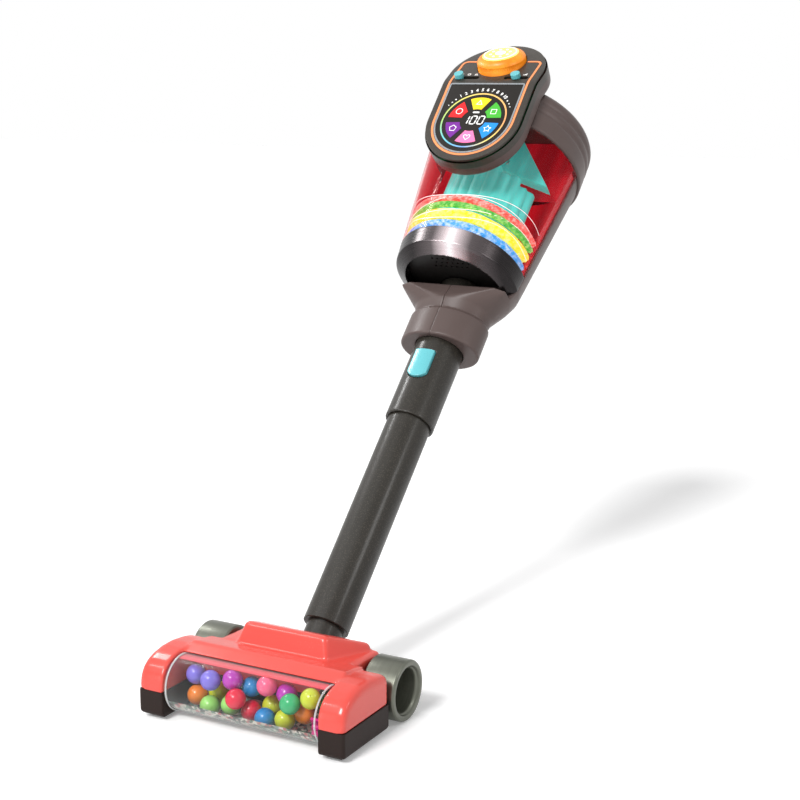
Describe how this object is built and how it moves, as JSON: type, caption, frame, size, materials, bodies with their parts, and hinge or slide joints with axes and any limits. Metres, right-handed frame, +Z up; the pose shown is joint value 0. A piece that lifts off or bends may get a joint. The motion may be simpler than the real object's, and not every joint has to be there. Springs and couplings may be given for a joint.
{
  "type": "toy vacuum cleaner",
  "caption": "Toy stick vacuum cleaner with a floor head of popping balls, hollow wheels, tilting wand and a lift-off hand unit with a light panel.",
  "frame": {"origin": "centre of the glide strip's flat face on the floor under the head", "axes": "+X to the right of a child pushing it seen from the front, +Y back towards the child, +Z up"},
  "size_m": [0.2146, 0.6053, 0.5818],
  "materials": {
    "red_shell": "glossy",
    "black_base": "satin",
    "clear": "clear, glossy",
    "glide": "matt",
    "ball_violet": "glossy",
    "ball_magenta": "glossy",
    "ball_blue": "glossy",
    "ball_pink": "glossy",
    "ball_yellow": "glossy",
    "ball_orange": "glossy",
    "ball_lime": "glossy",
    "ball_red": "glossy",
    "ball_green": "glossy",
    "magenta": "glossy",
    "belt": "matt",
    "white_nylon": "satin",
    "steel": "bright",
    "wheel_grey": "metallic flake",
    "wand": "satin with fine flake",
    "knuckle": "satin",
    "teal": "satin",
    "grey_body": "satin",
    "red_clear": "translucent, glossy",
    "ring_dark": "metallic",
    "grille": "satin",
    "arrow": "satin",
    "swirl_blue": "glowing light guide",
    "swirl_yellow": "glowing light guide",
    "swirl_green": "glowing light guide",
    "swirl_red": "glowing light guide",
    "battery": "glossy",
    "black_inner": "matt",
    "plate": "glossy",
    "dial": "glossy print",
    "board": "matt",
    "amber": "translucent, lit",
    "lamp": "lit"
  },
  "bodies": {
    "head": {"head_shell": "red_shell", "head_base": "black_base", "ball_window": "clear", "glide_strip": "glide", "balls_violet": "ball_violet", "balls_magenta": "ball_magenta", "balls_blue": "ball_blue", "balls_pink": "ball_pink", "balls_yellow": "ball_yellow", "balls_orange": "ball_orange", "balls_lime": "ball_lime", "balls_red": "ball_red", "balls_green": "ball_green", "popper_belt": "belt", "drive_belt": "belt", "axle_bushes": "white_nylon", "head_screws": "steel"},
    "wheel_set": {"wheels": "wheel_grey", "axle": "steel", "axle_pulley": "white_nylon"},
    "lay": {"lay_shaft": "white_nylon"},
    "popper": {"popper_paddle": "magenta"},
    "wand": {"wand_knuckle": "knuckle", "lower_tube": "wand", "middle_tube": "wand", "upper_sleeve": "wand", "latch_block": "white_nylon", "release_spring": "steel"},
    "release": {"release_button": "teal"},
    "unit": {"body_shell_left": "grey_body", "body_shell_right": "grey_body", "hand_grip": "knuckle", "canister": "red_clear", "canister_back": "red_clear", "canister_ring": "ring_dark", "speaker_grille": "grille", "speaker": "black_inner", "arrow_core": "arrow", "swirl_blue": "swirl_blue", "swirl_yellow": "swirl_yellow", "swirl_green": "swirl_green", "swirl_red": "swirl_red", "top_cap": "grey_body", "battery_tray": "black_inner", "batteries": "battery", "battery_contacts": "steel", "battery_door": "grey_body", "cap_screws": "steel", "panel_housing": "grey_body", "face_plate": "plate", "dial": "dial", "circuit_board": "board", "slide_switches": "steel", "push_switch": "black_inner", "lamp": "lamp", "button_spring": "steel"},
    "light": {"light_button": "amber"},
    "mode": {"mode_slider": "teal"},
    "volume": {"volume_slider": "teal"}
  },
  "joints": [
    {"name": "wheel_spin", "type": "hinge", "parent": "head", "child": "wheel_set", "pos_m": [0, 0.0415, 0.0274], "axis": [1, 0, 0], "continuous": true},
    {"name": "lay_spin", "type": "hinge", "parent": "head", "child": "lay", "pos_m": [0, -0.0015, 0.02], "axis": [1, 0, 0], "continuous": true},
    {"name": "popper_spin", "type": "hinge", "parent": "head", "child": "popper", "pos_m": [0, -0.041, 0.0165], "axis": [1, 0, 0], "continuous": true},
    {"name": "wand_tilt", "type": "hinge", "parent": "head", "child": "wand", "pos_m": [0, 0.0415, 0.0274], "axis": [1, 0, 0], "range_deg": [-30, 25]},
    {"name": "unit_lift", "type": "slide", "parent": "wand", "child": "unit", "axis": [0, 0.7071, 0.7071], "range_m": [0, 0.06]},
    {"name": "release_press", "type": "slide", "parent": "wand", "child": "release", "axis": [0, 0.7071, -0.7071], "range_m": [0, 0.0022], "stiffness_N_per_m": 600, "deforming": ["release_spring"]},
    {"name": "light_press", "type": "slide", "parent": "unit", "child": "light", "axis": [0, 0.3681, -0.9298], "range_m": [0, 0.0025], "stiffness_N_per_m": 600, "deforming": ["button_spring"]},
    {"name": "mode_slide", "type": "slide", "parent": "unit", "child": "mode", "axis": [1, 0, 0], "range_m": [0, 0.0182]},
    {"name": "volume_slide", "type": "slide", "parent": "unit", "child": "volume", "axis": [1, 0, 0], "range_m": [-0.0091, 0.0091]}
  ],
  "couplings": [
    {"joint": "lay_spin", "follows": "wheel_spin", "ratio": 1},
    {"joint": "popper_spin", "follows": "wheel_spin", "ratio": 1}
  ]
}
